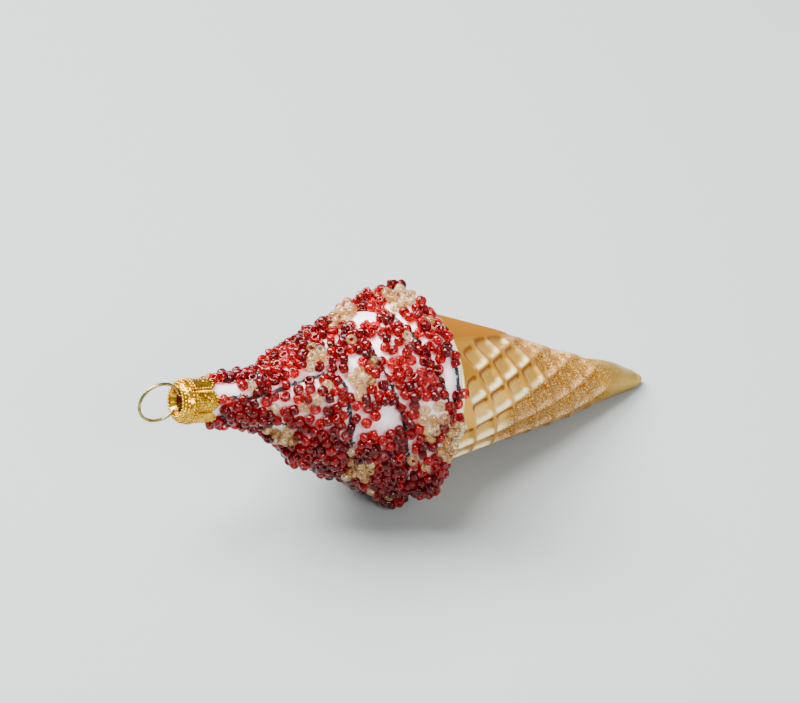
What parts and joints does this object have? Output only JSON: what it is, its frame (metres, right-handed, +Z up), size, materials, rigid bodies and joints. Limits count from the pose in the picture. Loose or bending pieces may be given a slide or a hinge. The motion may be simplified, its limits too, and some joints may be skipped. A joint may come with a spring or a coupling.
{
  "type": "hanging glass ornament in the form of an ice cream cone",
  "caption": "Blown-glass hanging ornament: a soft-serve swirl covered in seed beads on a waffle cone, with a metal cap and wire loop.",
  "frame": {"origin": "middle of the footprint, on the surface that the ornament lies on", "axes": "+Z up, +X towards the tip of the cone, +Y across the ornament"},
  "size_m": [0.1208, 0.0452, 0.0438],
  "materials": {
    "white_lacquered_glass": "satin white lacquer on blown glass",
    "amber_lacquered_glass": "translucent pearly amber lacquer on blown glass, with fine glitter towards the tip",
    "gold_coloured_metal": "bright embossed sheet",
    "brass_wire": "drawn wire",
    "red_bead_glass": "clear ruby glass seed beads",
    "pale_bead_glass": "clear champagne glass seed beads",
    "black_glitter": "coarse black glitter in glue"
  },
  "bodies": {
    "root": {"beaded_swirl": "white_lacquered_glass", "waffle_cone": "amber_lacquered_glass", "metal_cap": "gold_coloured_metal", "wire_loop": "brass_wire"}
  },
  "joints": []
}
